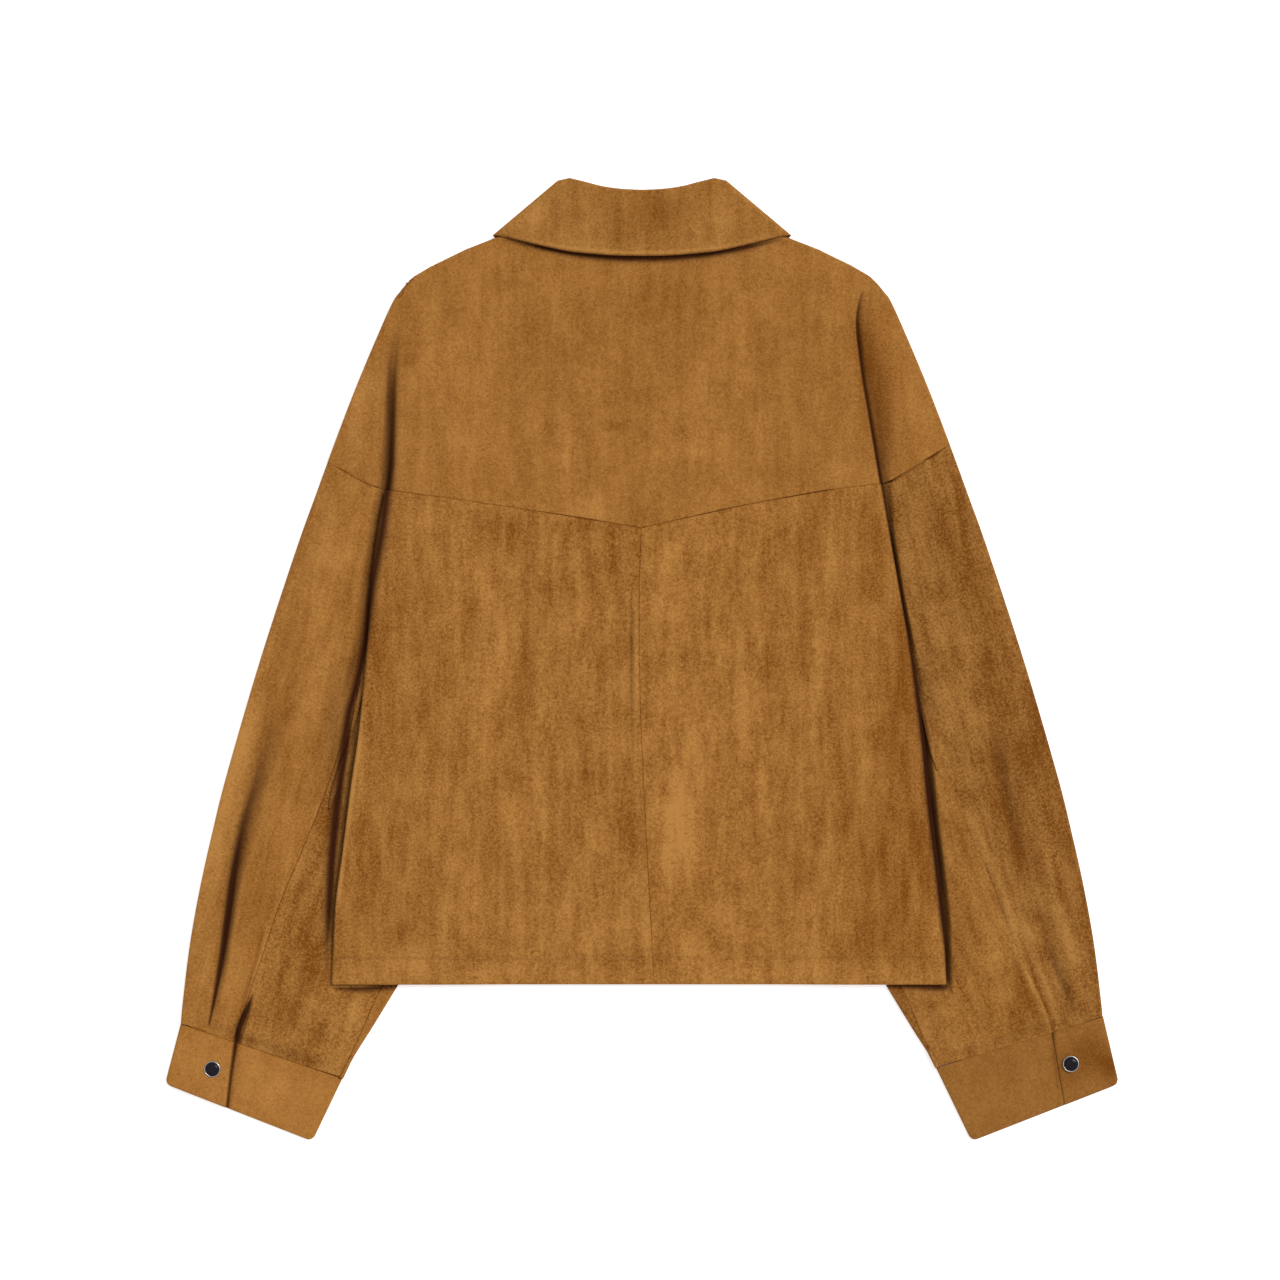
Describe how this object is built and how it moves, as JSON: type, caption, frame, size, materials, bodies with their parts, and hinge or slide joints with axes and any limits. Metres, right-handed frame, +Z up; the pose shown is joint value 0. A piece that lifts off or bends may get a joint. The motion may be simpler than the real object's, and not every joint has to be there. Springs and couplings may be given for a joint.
{
  "type": "cropped suede shirt jacket",
  "caption": "Cropped loose jacket in tan suede cloth, laid flat with its back up, with a turned-down shirt collar, a V-shaped back yoke, full sleeves and snapped cuffs.",
  "frame": {"origin": "centre of the underside's bounding box, on the surface that the jacket lies on", "axes": "+X across the back to the right sleeve as seen from above, +Y from the hem to the collar, +Z up from the surface through the cloth"},
  "size_m": [0.724, 0.7313, 0.0079],
  "materials": {
    "suede": "matte brushed nap",
    "suede_dark": "matte brushed nap, a little darker",
    "snap_metal": "gloss black enamel"
  },
  "bodies": {
    "root": {"back_yoke": "suede", "back_panel_left": "suede_dark", "back_panel_right": "suede_dark", "front_panel_left": "suede_dark", "front_panel_right": "suede_dark", "upper_sleeve_left": "suede", "under_sleeve_left": "suede_dark", "cuff_left": "suede", "cuff_snap_left": "snap_metal", "upper_sleeve_right": "suede", "under_sleeve_right": "suede_dark", "cuff_right": "suede", "cuff_snap_right": "snap_metal", "collar_fall": "suede", "collar_stand": "suede_dark", "front_snap_1": "snap_metal", "front_snap_2": "snap_metal", "front_snap_3": "snap_metal", "front_snap_4": "snap_metal", "front_snap_5": "snap_metal"}
  },
  "joints": []
}
